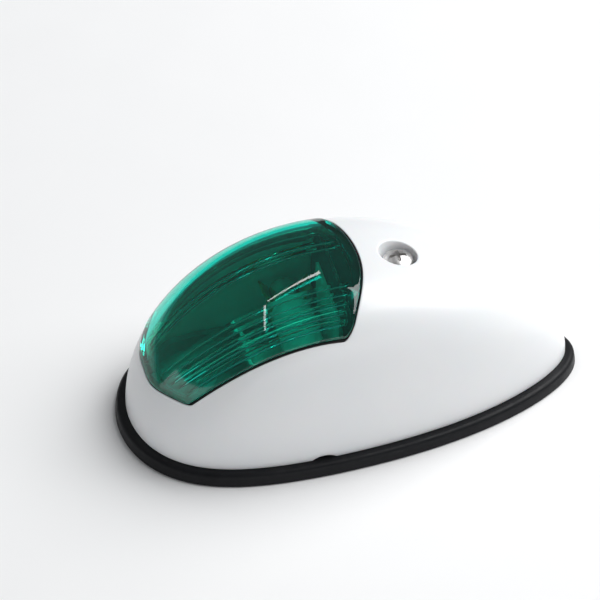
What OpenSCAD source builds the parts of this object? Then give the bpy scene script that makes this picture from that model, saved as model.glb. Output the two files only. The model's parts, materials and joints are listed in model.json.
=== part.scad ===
// Side navigation light for a vertical face of a boat, with its cover, lens, bulb and holder.
// The mounting face lies on z = 0 and the light looks outboard along +z. The lens end points
// to the bow at -x and the tail points aft at +x. The moulding is symmetrical about y = 0.

/* [Cover] */
// Length of the cover at its rim
cover_l = 114; // [112:0.5:116]
// Mean half width of the cover
cover_half_w = 28.55; // [28.2:0.05:29.2]
// Mean height of the ridge above the rim
ridge_h = 39.15; // [38.6:0.05:40]
// How much wider the bow end is than the tail, as a share of the mean
bow_width = 0.351; // [0.33:0.005:0.37]
// How much taller the bow end is than the tail, as a share of the mean
bow_height = 0.073; // [0.06:0.005:0.09]
// Power of the cross-section: 2 is an ellipse, and more is squarer
squareness = 3.25; // [3.15:0.05:3.35]
// Thickness of the cover's wall
wall = 2; // [1.8:0.1:2.2]

/* [Lens] */
// Side edge of the lens, as a share of the cover's half width
lens_side = 0.85; // [0.84:0.005:0.86]
// Station of the lens's bow edge on the ridge, in degrees from the bow tip
lens_bow_u = 22; // [21:0.5:23]
// Station of the lens's aft edge on the ridge, in degrees from the bow tip
lens_aft_u = 92.5; // [92:0.25:93]
// How far the lens stands proud of the cover
lens_proud = 0.35; // [0.2:0.05:0.5]
// Thickness of the lens
lens_t = 2.45; // [2.3:0.05:2.6]

/* [Gasket and base] */
// Height of the gasket's border, on which the cover's rim sits
border_h = 3.35; // [3.1:0.05:3.5]
// How far the gasket stands out beyond the cover at the mounting face
gasket_out = 2.7; // [2.4:0.1:3]
// Thickness of the gasket under the base plate
gasket_floor_t = 1.5; // [1.3:0.1:1.6]
// Thickness of the base plate
base_t = 2.5; // [2.3:0.1:2.6]
// Distance of the bow mounting hole from the middle
bow_hole_x = 46; // [45.5:0.25:46.5]
// Distance of the aft mounting hole from the middle
aft_hole_x = 42; // [41.5:0.25:42.5]
// Radius of the mounting holes
mount_hole_r = 2.25; // [2.1:0.05:2.3]
// Distance of the cable entry from the middle
cable_x = 27; // [26.5:0.25:27.5]
// Radius of the grommet's bore
cable_r = 3.1; // [2.9:0.05:3.2]

/* [Bulb] */
// Distance of the bulb's axis from the middle, towards the bow
bulb_x = 12; // [11.75:0.25:12.25]
// Height of the bulb's axis above the mounting face
bulb_z = 19.5; // [19.25:0.05:19.75]
// Overall length of the festoon bulb
bulb_l = 42; // [41.5:0.25:42.5]
// Radius of the bulb's glass
glass_r = 5.25; // [5:0.05:5.3]
// Radius of the bulb's caps
cap_r = 4; // [3.9:0.05:4.1]

/* [Cover screw] */
// Distance of the cover screw from the middle
screw_x = 12.6; // [12.2:0.2:13]
// Height of the underside of the screw's head
head_z = 40.0; // [39.8:0.1:40.2]
// Length of the screw under its head
screw_l = 25; // [24:0.5:25.5]
// Radius of the screw's shank
shank_r = 1.95; // [1.9:0.01:1.96]
// Radius of the recess around the head
recess_r = 4.85; // [4.75:0.05:4.95]

/* [Hidden] */
$fn = 64;

half_l = cover_l / 2;
// The cover's rim clears the gasket's border by a hair
rim_z = border_h + 0.05;
base_top = gasket_floor_t + base_t;
eps = 0.01;

// Weights of 1, cos u, cos 2u and cos 3u in the cover's plan, ridge and cross-section
plan_terms = [1, bow_width, 0.078, 0.04];
ridge_terms = [1, bow_height, -0.059];
square_terms = [squareness, -0.53, -0.66];

// ---------------------------------------------------------------------------------------
// The cover's surface. A station u runs from 0 at the bow tip to 180 at the tail, and s runs
// from -1 at one rim through 0 on the ridge to 1 at the other rim.

function total(v, i = 0) = i < len(v) ? v[i] + total(v, i + 1) : 0;
function cosines(terms, u) = total([for (i = [0:len(terms) - 1]) terms[i] * cos(i * u)]);
function half_w(u) = cover_half_w * sin(u) * cosines(plan_terms, u);
function crown(u) = ridge_h * sin(u) * cosines(ridge_terms, u);
function power(u) = cosines(square_terms, u);
function u_at(x) = acos(-x / half_l);

// Slope of f at u, per radian
function slope(f, u) = (f(u + eps) - f(u - eps)) / (2 * eps) * 180 / PI;
function x_ln_x(v) = v > 0 ? v * ln(v) : 0;

// The outward normal of the cross-section curve |y/w|^m + |z/h|^m = 1 swept along u
function skin_normal(u, a, c, m, w, h) =
    let (
        gu = -pow(a, m) * slope(function(v) half_w(v), u) / w
            - pow(c, m) * slope(function(v) crown(v), u) / h
            + slope(function(v) power(v), u) / m * (x_ln_x(pow(a, m)) + x_ln_x(pow(c, m))) / m,
        g = [gu / (half_l * sin(u)), pow(a, m - 1) / w, pow(c, m - 1) / h])
    g / norm(g);

// A point of the cover's outer surface, moved out along its normal by d
function skin(u, s, d = 0) =
    u < eps ? [-half_l - d, 0, rim_z]
    : u > 180 - eps ? [half_l + d, 0, rim_z]
    : let (
        m = power(u),
        w = half_w(u),
        h = crown(u),
        a = min(abs(s), 1),
        c = pow(1 - pow(a, m), 1 / m),
        n = skin_normal(u, a, c, m, w, h),
        side = s < 0 ? -1 : 1)
    [-half_l * cos(u) + d * n.x, side * (a * w + d * n.y), rim_z + c * h + d * n.z];

// The rim's outline moved out by d, at height z, as a closed ring of points
rim_steps = 36;
function rim_ring(d, z) = [for (k = [0:2 * rim_steps - 1])
    let (p = skin(180 * min(k, 2 * rim_steps - k) / rim_steps, k < rim_steps ? -1 : 1, d))
    [p.x, p.y, z]];
function rim_outline(d) = [for (p = rim_ring(d, 0)) [p.x, p.y]];

// ---------------------------------------------------------------------------------------
// The lens opening. Along the cover q runs from 0 at the bow edge to 1 at the aft edge, and
// across it p runs from -1 to 1 between the side edges, and on to -2 and 2 at the rim.

lens_waist = 0.155;
bow_sweep = 15.5;
bow_sweep_power = 3.4;
aft_sweep = 10.2;
function side_s(q) = lens_side + lens_waist * q * (q - 0.9);
function bow_edge(s) = lens_bow_u + bow_sweep * pow(abs(s) / lens_side, bow_sweep_power);
function aft_edge(s) = lens_aft_u - aft_sweep * s * s;

function across(q, p) =
    abs(p) <= 1 ? p * side_s(q) : sign(p) * (side_s(q) + (1 - side_s(q)) * (abs(p) - 1));
function within(q, p) = max(-1, min(1, p)) * side_s(q);
function along(q, p) =
    bow_edge(within(q, p)) + (aft_edge(within(q, p)) - bow_edge(within(q, p))) * q;

// Surface points over the lens and its surroundings
function lens_point(q, p, d) = skin(along(q, p), across(q, p), d);

// Surface points over the whole cover: zone 0 is the bow, 1 the lens and 2 the tail
function cover_point(zone, f, p, d) =
    zone == 0 ? skin(bow_edge(within(0, p)) * f, across(0, p), d)
    : zone == 1 ? lens_point(f, p, d)
    : skin(aft_edge(within(1, p)) + (180 - aft_edge(within(1, p))) * f, across(1, p), d);

function steps(a, b, n) = [for (k = [0:n]) a + (b - a) * k / n];
function mirrored(v) = concat([for (k = [len(v) - 1:-1:0]) -v[k]], v);
function reversed(v) = [for (k = [len(v) - 1:-1:0]) v[k]];

// A solid between two grids of points of the same size, made of the cells that keep allows
module slab(top, bottom, keep = function(i, j) true) {
    rows = len(top);
    cols = len(top[0]);
    points = concat([for (row = top) each row], [for (row = bottom) each row]);
    kept = function(i, j) i >= 0 && j >= 0 && i < rows - 1 && j < cols - 1 && keep(i, j);
    at = function(c, side) side * rows * cols + c[0] * cols + c[1];
    neighbours = [[-1, 0], [0, 1], [1, 0], [0, -1]];
    triangles = [for (i = [0:rows - 2], j = [0:cols - 2]) if (kept(i, j))
        let (c = [[i, j], [i, j + 1], [i + 1, j + 1], [i + 1, j]])
        each concat(
            [[at(c[0], 0), at(c[1], 0), at(c[2], 0)], [at(c[0], 0), at(c[2], 0), at(c[3], 0)],
                [at(c[0], 1), at(c[2], 1), at(c[1], 1)], [at(c[0], 1), at(c[3], 1), at(c[2], 1)]],
            [for (k = [0:3]) if (!kept(i + neighbours[k][0], j + neighbours[k][1]))
                let (a = c[k], b = c[(k + 1) % 4])
                each [[at(b, 0), at(a, 0), at(a, 1)], [at(b, 0), at(a, 1), at(b, 1)]]])];
    // The tips of the cover are single points, so their triangles without area go
    polyhedron(points, [for (t = triangles)
        if (points[t[0]] != points[t[1]] && points[t[1]] != points[t[2]]
            && points[t[2]] != points[t[0]]) t]);
}

// A hoop around the rim whose section is a closed list of [distance out, height]
module hoop(section) {
    n = 2 * rim_steps;
    m = len(section);
    at = function(i, k) (i % m) * n + k % n;
    polyhedron([for (v = section) each rim_ring(v[0], v[1])],
        [for (i = [0:m - 1], k = [0:n - 1])
            each [[at(i, k), at(i + 1, k), at(i + 1, k + 1)],
                [at(i, k), at(i + 1, k + 1), at(i, k + 1)]]]);
}

module mirror_copy() {
    children();
    mirror([0, 1, 0]) children();
}

module at_mount_holes() {
    translate([-bow_hole_x, 0]) children();
    translate([aft_hole_x, 0]) children();
}

// ---------------------------------------------------------------------------------------
// Gasket, base plate and grommet

border_in = 3.2;
grommet_flange_r = 6.2;

module base_gasket() {
    color("#17181a") difference() {
        union() {
            hoop([[gasket_out, 0], [gasket_out - 0.05, 0.8], [gasket_out - 0.25, 2.1],
                [gasket_out - 0.6, 2.85], [gasket_out - 1.3, border_h], [-border_in, border_h],
                [-border_in, 0]]);
            linear_extrude(gasket_floor_t) polygon(rim_outline(-border_in + 0.2));
        }
        at_mount_holes() translate([0, 0, -1]) cylinder(r = mount_hole_r + 0.8, h = 4);
        translate([cable_x, 0, -1]) cylinder(r = grommet_flange_r + 0.3, h = 4);
    }
}

lip_out = 2.5;
lip_t = 1.5;
lip_top = 7;
post_r = 4.7;
post_top = 24;
insert_r = 2.8;
insert_l = 8;
rail_top = 7;
rail_y = 16;
rail_w = 8;
rail_x0 = -bulb_x - 5;
rail_x1 = 8;
terminal_x = 3.5;
rivet_r = 1.5;
terminal_r = 1.7;
grommet_r = 4.5;
mount_boss_r = 4.6;
mount_boss_h = 1.4;

module base_plate() {
    color("#9a9da1") difference() {
        union() {
            translate([0, 0, gasket_floor_t]) linear_extrude(base_t)
                polygon(rim_outline(-border_in - 0.05));
            // Locating lip inside the cover's wall
            translate([0, 0, rim_z]) linear_extrude(lip_top - rim_z) difference() {
                polygon(rim_outline(-lip_out));
                polygon(rim_outline(-lip_out - lip_t));
            }
            // Post for the cover screw, with four ribs
            translate([screw_x, 0, base_top - eps]) cylinder(r = post_r, h = post_top - base_top);
            for (turn = [45:90:315]) translate([screw_x, 0, base_top - eps]) rotate(turn)
                rotate([90, 0, 0]) translate([0, 0, -0.6]) linear_extrude(1.2)
                    polygon([[3, 0], [8, 0], [post_r, 13], [3, 13]]);
            // Raised rails that carry the contacts
            mirror_copy() translate([rail_x0, rail_y - rail_w / 2, base_top - eps])
                cube([rail_x1 - rail_x0, rail_w, rail_top - base_top + eps]);
            at_mount_holes() translate([0, 0, base_top - eps])
                cylinder(r = mount_boss_r, h = mount_boss_h);
        }
        at_mount_holes() cylinder(r = mount_hole_r, h = lip_top);
        translate([cable_x, 0, 0]) cylinder(r = grommet_r, h = lip_top);
        translate([screw_x, 0, post_top - insert_l]) cylinder(r = insert_r, h = insert_l + 1);
        translate([screw_x, 0, head_z - screw_l - 1]) cylinder(r = shank_r + 0.25, h = 12);
        mirror_copy() translate([-bulb_x, rail_y, 0]) cylinder(r = rivet_r, h = lip_top + 1);
        mirror_copy() translate([terminal_x, rail_y, base_top - 1.5])
            cylinder(r = terminal_r, h = lip_top);
    }
}

module threaded_insert() {
    groove = 0.35;
    color("#c9a24c") translate([screw_x, 0, post_top - insert_l]) difference() {
        cylinder(r = insert_r, h = insert_l);
        translate([0, 0, insert_l / 2 - 0.6]) difference() {
            cylinder(r = insert_r + 1, h = 1.2);
            cylinder(r = insert_r - groove, h = 1.2);
        }
        translate([0, 0, -1]) cylinder(r = shank_r + 0.05, h = insert_l + 2);
    }
}

module cable_grommet() {
    low = 0.4;
    flange_t = gasket_floor_t - low;
    color("#141516") translate([cable_x, 0, low]) difference() {
        union() {
            cylinder(r = grommet_flange_r, h = flange_t);
            cylinder(r = grommet_r, h = base_top + flange_t - low);
            translate([0, 0, base_top - low]) cylinder(r = grommet_flange_r, h = flange_t);
        }
        translate([0, 0, -1]) cylinder(r = cable_r, h = 8);
    }
}

// ---------------------------------------------------------------------------------------
// Reflector trough and the screen that cuts the light off abaft the beam

reflector_x = -bulb_x - 3.5;
reflector_r = 10;
reflector_t = 0.8;
reflector_half_l = 11.5;
reflector_top = 33;
baffle_x = reflector_x + 11;
baffle_t = 1;
baffle_gap = 4.6;

module reflector() {
    back_x = reflector_x + reflector_r;
    outer_r = reflector_r + reflector_t;
    color("#e9ebea") union() {
        translate([reflector_x, reflector_half_l, bulb_z]) rotate([90, 0, 0])
            linear_extrude(2 * reflector_half_l) difference() {
                circle(r = outer_r);
                circle(r = reflector_r);
                translate([-20, 0]) square([40, 20]);
                translate([-20, -3]) square([12, 20]);
            }
        translate([back_x, -reflector_half_l, bulb_z - eps])
            cube([reflector_t, 2 * reflector_half_l, reflector_top - bulb_z]);
        // Two feet stand on the base plate
        mirror_copy() translate([reflector_x - 2.5, reflector_half_l - 4, base_top])
            cube([5, 1.2, bulb_z - outer_r - base_top + 0.5]);
    }
}

module light_baffle() {
    u = u_at(baffle_x);
    arch = [for (s = steps(-1, 1, 28)) let (p = skin(u, s, -baffle_gap)) [p.y, p.z]];
    window_w = rail_w + 1;
    color("#1d1f22") translate([baffle_x, 0, 0]) rotate([90, 0, 90])
        linear_extrude(baffle_t) difference() {
            polygon(concat([for (p = arch) [p.x, max(p.y, base_top)]]));
            for (side = [-1, 1]) translate([side * rail_y - window_w / 2, 0])
                square([window_w, rail_top + 1.5]);
        }
}

// ---------------------------------------------------------------------------------------
// Contacts that hold the bulb's caps, with their rivets and terminals

strip_t = 0.6;
strip_w = 6;
clip_in = 14.6;
clip_l = 5;
arm_gap = cap_r + 0.06;
bridge_z = bulb_z - cap_r - 1.1;
arm_top = bulb_z + 1.6;
flare_top = arm_top + 2;
flare_out = 1.8;

// A spring fork around the cap: seen along the bulb's axis, with its mouth open to +z
module fork_profile() {
    translate([-arm_gap - strip_t, bridge_z]) square([2 * (arm_gap + strip_t), strip_t]);
    for (side = [-1, 1]) scale([side, 1]) polygon([[arm_gap, bridge_z], [arm_gap, arm_top],
        [arm_gap + flare_out, flare_top], [arm_gap + flare_out + strip_t, flare_top],
        [arm_gap + strip_t, arm_top - 0.2], [arm_gap + strip_t, bridge_z]]);
}

module contact_clip() {
    clip_out = clip_in + clip_l;
    color("#b9973f") difference() {
        union() {
            translate([-bulb_x, clip_out, 0]) rotate([90, 0, 0])
                linear_extrude(clip_l) fork_profile();
            // Leg down to the foot
            translate([-bulb_x - strip_w / 2, clip_out - strip_t, rail_top])
                cube([strip_w, strip_t, bridge_z + strip_t - rail_top]);
            // Foot and the strip that runs aft to the terminal
            translate([-bulb_x - strip_w / 2, rail_y - strip_w / 2, rail_top])
                cube([terminal_x + bulb_x + strip_w, strip_w, strip_t]);
            translate([-bulb_x - strip_w / 2, rail_y, rail_top])
                cube([strip_w, clip_out - rail_y, strip_t]);
        }
        translate([-bulb_x, rail_y, 0]) cylinder(r = rivet_r, h = 10);
        translate([terminal_x, rail_y, 0]) cylinder(r = terminal_r + 0.1, h = 10);
    }
}

module contact_clip_upper() {
    mirror([0, 1, 0]) contact_clip();
}

module contact_clip_lower() {
    contact_clip();
}

module contact_rivets() {
    head_h = 0.9;
    color("#c3a559") mirror_copy() translate([-bulb_x, rail_y, gasket_floor_t]) difference() {
        union() {
            cylinder(r = rivet_r, h = rail_top - gasket_floor_t + strip_t + head_h);
            translate([0, 0, rail_top - gasket_floor_t + strip_t])
                cylinder(r1 = 2.5, r2 = 2, h = head_h);
        }
        translate([0, 0, 0.5]) cylinder(r = 0.8, h = 9);
    }
}

clamp_t = 1;
module terminal_clamps() {
    clamp_w = 7;
    ear_h = 0.9;
    color("#cfd2d4") mirror_copy()
        translate([terminal_x - clamp_w / 2, rail_y - clamp_w / 2, rail_top + strip_t])
            difference() {
                union() {
                    cube([clamp_w, clamp_w, clamp_t]);
                    for (edge = [0, clamp_w - 0.8]) translate([0, edge, 0])
                        cube([clamp_w, 0.8, clamp_t + ear_h]);
                }
                translate([clamp_w / 2, clamp_w / 2, -1])
                    cylinder(r = terminal_r + 0.15, h = 4);
            }
}

module terminal_screws() {
    tip_z = base_top - 1.2;
    seat_z = rail_top + strip_t + clamp_t;
    head_h = 1.9;
    slot_w = 0.8;
    color("#c7b06a") mirror_copy() translate([terminal_x, rail_y, 0]) difference() {
        union() {
            translate([0, 0, tip_z]) cylinder(r = terminal_r, h = seat_z - tip_z + 0.1);
            translate([0, 0, seat_z]) cylinder(r = 2.6, h = head_h);
        }
        translate([-4, -slot_w / 2, seat_z + head_h - 0.9]) cube([8, slot_w, 2]);
    }
}

// ---------------------------------------------------------------------------------------
// Festoon bulb, with its axis along y

glass_half_l = 14;
neck_r = 3.4;
glass_t = 0.6;

module along_bulb() {
    translate([-bulb_x, 0, bulb_z]) rotate([-90, 0, 0]) children();
}

module bulb_glass() {
    shoulder = 3;
    color("#eef0f0", 0.8) along_bulb() rotate_extrude() difference() {
        polygon([[0, -glass_half_l], [neck_r, -glass_half_l], [neck_r + 0.9, 1.2 - glass_half_l],
            [glass_r, shoulder - glass_half_l], [glass_r, glass_half_l - shoulder],
            [neck_r + 0.9, glass_half_l - 1.2], [neck_r, glass_half_l], [0, glass_half_l]]);
        polygon([[0, glass_t - glass_half_l], [neck_r - glass_t, glass_t - glass_half_l],
            [glass_r - glass_t, shoulder - glass_half_l + 0.2],
            [glass_r - glass_t, glass_half_l - shoulder - 0.2],
            [neck_r - glass_t, glass_half_l - glass_t], [0, glass_half_l - glass_t]]);
    }
}

// The lower end of each lead wire is fused into the glass
module bulb_filament() {
    coil_half_l = 7;
    coil_r = 0.55;
    lead_r = 0.3;
    reach = glass_half_l - glass_t;
    color("#8d8f93") along_bulb() union() {
        translate([0, 0, -coil_half_l]) cylinder(r = coil_r, h = 2 * coil_half_l);
        translate([0, 0, -reach]) cylinder(r = lead_r, h = 2 * reach);
    }
}

module bulb_cap() {
    tip_r = 1.2;
    color("#c8cacb") along_bulb() translate([0, 0, glass_half_l])
        rotate_extrude() polygon([[0, 0], [cap_r, 0], [cap_r, 5.2], [cap_r - 0.3, 5.5],
            [tip_r + 0.4, bulb_l / 2 - glass_half_l - 0.6],
            [tip_r, bulb_l / 2 - glass_half_l], [0, bulb_l / 2 - glass_half_l]]);
}

module bulb_cap_upper() {
    mirror([0, 1, 0]) bulb_cap();
}

module bulb_cap_lower() {
    bulb_cap();
}

// ---------------------------------------------------------------------------------------
// Cover, lens and seal

bow_rows = 8;
lens_rows = 18;
tail_rows = 16;
lens_lines = concat([for (k = [1:6]) k / 7], [0.93, 1]);
lens_cols = len(lens_lines);
stations = concat([for (k = [0:bow_rows - 1]) [0, k / bow_rows]],
    [for (k = [0:lens_rows - 1]) [1, k / lens_rows]],
    [for (k = [0:tail_rows]) [2, k / tail_rows]]);
half_lines = concat(lens_lines, [1.08, 1.16, 1.27, 1.55, 1.85, 1.97, 2]);
lines = concat(reversed([for (v = half_lines) -v]), [0], half_lines);
boss_r = 7;
tube_r = 4.6;
oring_t = 1;
washer_t = 0.6;
recess_floor = head_z - oring_t - washer_t;
boss_low = recess_floor - 2.2;
tube_low = post_top + 0.3;
notch_x = -12.9;
notch_half_w = 3.1;
notch_h = 1;

function cover_grid(d) = [for (v = stations) [for (p = lines) cover_point(v[0], v[1], p, d)]];

// A block under the cover's skin around the screw, to shape the top of the screw boss
module under_skin() {
    top = [for (u = steps(88, 118, 6)) [for (s = steps(-0.45, 0.45, 6)) skin(u, s, -0.4)]];
    slab(top, [for (row = top) [for (p = row) [p.x, p.y, boss_low]]]);
}

module cover_shell() {
    first_col = (len(lines) - 1) / 2 - lens_cols;
    solid_cell = function(i, j) !(i >= bow_rows && i < bow_rows + lens_rows
        && j >= first_col && j < first_col + 2 * lens_cols);
    notch_r = (notch_half_w * notch_half_w + notch_h * notch_h) / (2 * notch_h);
    color("#f3f4f5") difference() {
        union() {
            slab(cover_grid(0), cover_grid(-wall), solid_cell);
            intersection() {
                translate([screw_x, 0, boss_low]) cylinder(r = boss_r, h = 15);
                under_skin();
            }
            translate([screw_x, 0, tube_low]) cylinder(r = tube_r, h = boss_low - tube_low + 1);
        }
        translate([screw_x, 0, recess_floor]) cylinder(r = recess_r, h = 15);
        translate([screw_x, 0, tube_low - 1])
            cylinder(r = shank_r + 0.3, h = recess_floor - tube_low + 2);
        // Arched notch in the rim for lifting the cover off
        translate([notch_x, -half_w(u_at(notch_x)) - 2, rim_z + notch_h - notch_r])
            rotate([-90, 0, 0]) cylinder(r = notch_r, h = 6);
    }
}

// The lens has a flange that sits behind the cover's wall, and its window fills the opening
seal_t = 0.4;
seal_gap = 0.15;
flange_top = -wall - seal_t - 2 * seal_gap;
flange_low = flange_top - 1.2;
window_low = lens_proud - lens_t;

module lens() {
    edge_p = [0.915, 0.925, 0.99, 0.9935, 1.25];
    ps = concat(reversed([for (v = edge_p) -v]), [for (k = [-5:5]) 0.915 * k / 6], edge_p);
    q_in = [-0.045, 0.0025, 0.004, 0.035, 0.038];
    qs = concat(q_in, [for (k = [1:12]) 0.038 + 0.924 * k / 13], reversed([for (v = q_in) 1 - v]));
    inside = function(k, n, margin) k >= margin && k < n - margin;
    grid = function(margin, deep, shallow) [for (i = [0:len(qs) - 1]) [for (j = [0:len(ps) - 1])
        let (open = inside(i, len(qs), margin) && inside(j, len(ps), margin))
        lens_point(qs[i], ps[j], open ? shallow : deep)]];
    color("#0a6b52", 0.75) slab(grid(2, flange_top, lens_proud), grid(4, flange_low, window_low));
}

module lens_seal() {
    ps = concat([-1.22, -1.01], steps(-0.95, 0.95, 18), [1.01, 1.22]);
    qs = concat([-0.04, -0.006], steps(0.04, 0.96, 14), [1.006, 1.04]);
    rim_cell = function(i, j) i == 0 || j == 0 || i == len(qs) - 2 || j == len(ps) - 2;
    grid = function(d) [for (q = qs) [for (p = ps) lens_point(q, p, d)]];
    color("#1b1c1e") slab(grid(-wall - seal_gap), grid(-wall - seal_gap - seal_t), rim_cell);
}

// ---------------------------------------------------------------------------------------
// Cover screw with its sealing ring and washer

module screw_oring() {
    ring_r = oring_t / 2 - 0.02;
    color("#101112") translate([screw_x, 0, recess_floor + oring_t / 2]) rotate_extrude()
        translate([shank_r + 0.1 + ring_r, 0]) circle(r = ring_r);
}

module screw_washer() {
    color("#d5d8da") translate([screw_x, 0, recess_floor + oring_t]) difference() {
        cylinder(r = 3.9, h = washer_t - 0.02);
        translate([0, 0, -1]) cylinder(r = shank_r + 0.2, h = 3);
    }
}

module cover_screw() {
    head_h = 2.4;
    head_r = 3.8;
    slot_w = 0.9;
    slot_l = 4.4;
    // The head is a cap of a sphere above a short rim
    head_rim = 0.9;
    dome_h = head_h - head_rim;
    dome_r = (head_r * head_r + dome_h * dome_h) / (2 * dome_h);
    color("#c9ccce") translate([screw_x, 0, head_z]) difference() {
        union() {
            translate([0, 0, -screw_l + 1]) cylinder(r = shank_r, h = screw_l - 1 + eps);
            translate([0, 0, -screw_l]) cylinder(r1 = shank_r - 0.6, r2 = shank_r, h = 1);
            intersection() {
                cylinder(r = head_r, h = head_h);
                translate([0, 0, head_h - dome_r]) sphere(r = dome_r);
            }
        }
        for (turn = [0, 90]) rotate(turn) translate([-slot_l / 2, -slot_w / 2, head_h - 1.6])
            cube([slot_l, slot_w, 3]);
    }
}

base_gasket();
base_plate();
threaded_insert();
cable_grommet();
reflector();
light_baffle();
contact_clip_upper();
contact_clip_lower();
contact_rivets();
terminal_clamps();
terminal_screws();
bulb_glass();
bulb_filament();
bulb_cap_upper();
bulb_cap_lower();
cover_shell();
lens();
lens_seal();
screw_oring();
screw_washer();
cover_screw();
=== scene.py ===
"""The looks of a boat's side navigation light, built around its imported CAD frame.

Lengths are in millimetres and become metres as each mesh is made. The mounting face lies on
z = 0, the lens end points to the bow at -x and the tail points aft at +x.
"""

import json
import math

import bmesh
import bpy
import numpy as np
from mathutils import Matrix, Vector
from mathutils.geometry import tessellate_polygon


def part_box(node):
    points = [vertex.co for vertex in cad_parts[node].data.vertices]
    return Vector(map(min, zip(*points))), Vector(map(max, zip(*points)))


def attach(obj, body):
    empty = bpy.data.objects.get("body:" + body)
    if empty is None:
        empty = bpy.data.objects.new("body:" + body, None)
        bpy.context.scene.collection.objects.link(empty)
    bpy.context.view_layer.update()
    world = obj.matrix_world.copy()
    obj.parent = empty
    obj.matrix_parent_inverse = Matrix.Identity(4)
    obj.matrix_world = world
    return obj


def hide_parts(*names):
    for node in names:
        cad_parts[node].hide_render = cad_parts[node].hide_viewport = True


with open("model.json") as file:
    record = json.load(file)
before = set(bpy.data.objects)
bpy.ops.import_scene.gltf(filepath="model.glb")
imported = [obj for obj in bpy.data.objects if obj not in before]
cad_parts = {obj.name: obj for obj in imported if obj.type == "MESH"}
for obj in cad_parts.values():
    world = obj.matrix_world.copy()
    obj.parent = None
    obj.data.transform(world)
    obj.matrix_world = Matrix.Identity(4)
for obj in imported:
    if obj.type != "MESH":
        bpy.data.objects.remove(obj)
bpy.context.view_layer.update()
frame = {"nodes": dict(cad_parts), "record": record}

MM = 0.001
BODY_OF = {node: body for body, nodes in frame["record"]["behaviour"]["bodies"].items()
           for node in nodes}


def box_mm(node):
    """Lowest and highest corner of a CAD node, in millimetres."""
    low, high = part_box(node)
    return np.array(low) / MM, np.array(high) / MM


# ---------------------------------------------------------------------------------------
# The cover's surface: a station u runs from 0 at the bow tip to pi at the tail, and s from
# -1 at one rim through 0 on the ridge to 1 at the other.

COVER_LOW, COVER_HIGH = box_mm("cover_shell")
HALF_L = (COVER_HIGH[0] - COVER_LOW[0]) / 2
RIM_Z = COVER_LOW[2]
MEAN_HALF_W = 28.55
MEAN_RIDGE_H = 39.15
# Weights of 1, cos u, cos 2u and cos 3u in the plan, the ridge and the section's power
PLAN = (1, 0.351, 0.078, 0.04)
RIDGE = (1, 0.073, -0.059)
POWER = (3.25, -0.53, -0.66)
WALL = 2.0
POLE = 1e-3


def cosines(terms, u):
    return sum(t * np.cos(i * u) for i, t in enumerate(terms))


def cosines_slope(terms, u):
    return -sum(i * t * np.sin(i * u) for i, t in enumerate(terms))


def half_w(u):
    return MEAN_HALF_W * np.sin(u) * cosines(PLAN, u)


def crown(u):
    return MEAN_RIDGE_H * np.sin(u) * cosines(RIDGE, u)


def log_slope(terms, u):
    """Slope of sin(u) * cosines(terms, u), as a share of its value."""
    return np.cos(u) / np.sin(u) + cosines_slope(terms, u) / cosines(terms, u)


def x_ln_x(v):
    return v * np.log(np.maximum(v, 1e-300))


def skin(u, s, d=0.0):
    """Points of the cover's outer surface, moved out along its normal by d."""
    u, s, d = np.broadcast_arrays(*(np.asarray(v, float) for v in (u, s, d)))
    t = np.clip(u, POLE, math.pi - POLE)
    m, w, h = cosines(POWER, t), half_w(t), crown(t)
    a = np.minimum(np.abs(s), 1.0)
    am = a ** m
    cm = 1 - am
    c = cm ** (1 / m)
    along = (-(am * log_slope(PLAN, t) + cm * log_slope(RIDGE, t))
             + cosines_slope(POWER, t) * (x_ln_x(am) + x_ln_x(cm)) / m ** 2)
    normal = np.stack([along / (HALF_L * np.sin(t)), np.sign(s) * a ** (m - 1) / w,
                       c ** (m - 1) / h], -1)
    normal /= np.linalg.norm(normal, axis=-1, keepdims=True)
    point = np.stack([-HALF_L * np.cos(t), np.sign(s) * a * w, RIM_Z + c * h], -1)
    point = point + d[..., None] * normal
    tip = np.stack([np.sign(u - 1) * (HALF_L + d), 0 * d, RIM_Z + 0 * d], -1)
    at_tip = (u < 2 * POLE) | (u > math.pi - 2 * POLE)
    return np.where(at_tip[..., None], tip, point)


def over(xy, d):
    """Points of the surface moved out by d that stand above the given x and y."""
    guess = xy.copy()
    for _ in range(8):
        u = np.arccos(-guess[:, 0] / HALF_L)
        found = skin(u, guess[:, 1] / half_w(u), d)
        guess += xy - found[:, :2]
    return found


# ---------------------------------------------------------------------------------------
# A map of the cover in steps of about a millimetre: along is 0 at the lens's bow edge and
# LENS_L at its aft edge, across is 0 on the ridge and LENS_HALF at the lens's side edge.

LENS_SIDE = 0.85
LENS_WAIST = 0.155
LENS_L = 62.0
LENS_HALF = 25.0
BOW_L = 27.0
TAIL_L = 87.0
SIDE_L = 31.0
NOTCH_X = -12.9
NOTCH_HALF_W = 3.1
NOTCH_H = 1.0
RIM_ROUND = 0.2


def bow_edge(s):
    return np.radians(22 + 15.5 * (np.abs(s) / LENS_SIDE) ** 3.4)


def aft_edge(s):
    return np.radians(92.5 - 10.2 * s ** 2)


def lens_side(along):
    q = np.clip(along / LENS_L, 0, 1)
    return LENS_SIDE + LENS_WAIST * q * (q - 0.9)


def station(along, s):
    """Station u of a place on the map."""
    bow, aft = bow_edge(s), aft_edge(s)
    ahead = bow * (1 + along / BOW_L)
    behind = aft + (math.pi - aft) * (along - LENS_L) / TAIL_L
    middle = bow + (aft - bow) * along / LENS_L
    return np.where(along < 0, ahead, np.where(along > LENS_L, behind, middle))


def notch(u, side):
    """Height of the lifting notch in the rim."""
    r = (NOTCH_HALF_W ** 2 + NOTCH_H ** 2) / (2 * NOTCH_H)
    off = -HALF_L * np.cos(u) - NOTCH_X
    arch = NOTCH_H - r + np.sqrt(np.maximum(r ** 2 - off ** 2, 0))
    return np.where(side < 0, np.maximum(arch, 0), 0)


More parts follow.
